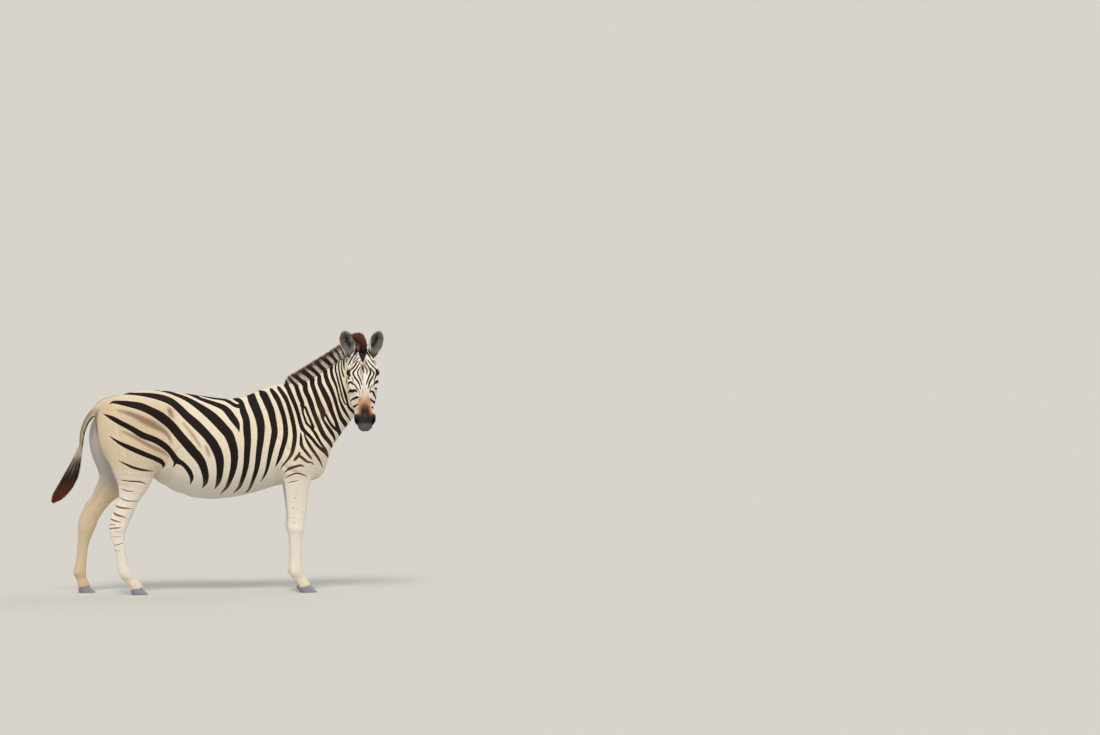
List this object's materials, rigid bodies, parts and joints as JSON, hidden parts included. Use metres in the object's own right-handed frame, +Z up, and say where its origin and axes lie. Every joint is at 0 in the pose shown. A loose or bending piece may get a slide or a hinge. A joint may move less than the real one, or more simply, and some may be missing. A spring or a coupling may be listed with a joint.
{
  "type": "zebra",
  "caption": "Life-size plains zebra standing side on with its head turned to look sideways, ears up, mane erect and tail hanging clear of the hocks.",
  "frame": {"origin": "on the ground, under the middle of the whole model", "axes": "+X the way the body faces, +Y the animal's left, +Z up"},
  "size_m": [2.047, 0.7082, 1.6308],
  "materials": {
    "coat": "short flat hair, cream with near-black stripes",
    "hoof": "dry grey-blue horn",
    "eye": "wet, dark brown",
    "ear": "pale-rimmed ear, dark grey hair inside",
    "mane": "stiff upright hair in the neck's bands",
    "tail_hair": "long coarse hair, pale at the root and dark at the tip"
  },
  "bodies": {
    "root": {"trunk": "coat", "neck": "coat", "head": "coat", "tail_dock": "coat", "forearm_left": "coat", "fore_shank_left": "coat", "forearm_right": "coat", "fore_shank_right": "coat", "gaskin_left": "coat", "hind_shank_left": "coat", "gaskin_right": "coat", "hind_shank_right": "coat", "hoof_fore_left": "hoof", "hoof_fore_right": "hoof", "hoof_hind_left": "hoof", "hoof_hind_right": "hoof", "eye_left": "eye", "eye_right": "eye", "ear_left": "ear", "ear_right": "ear", "mane": "mane", "forelock": "mane", "tail_tuft": "tail_hair"}
  },
  "joints": []
}
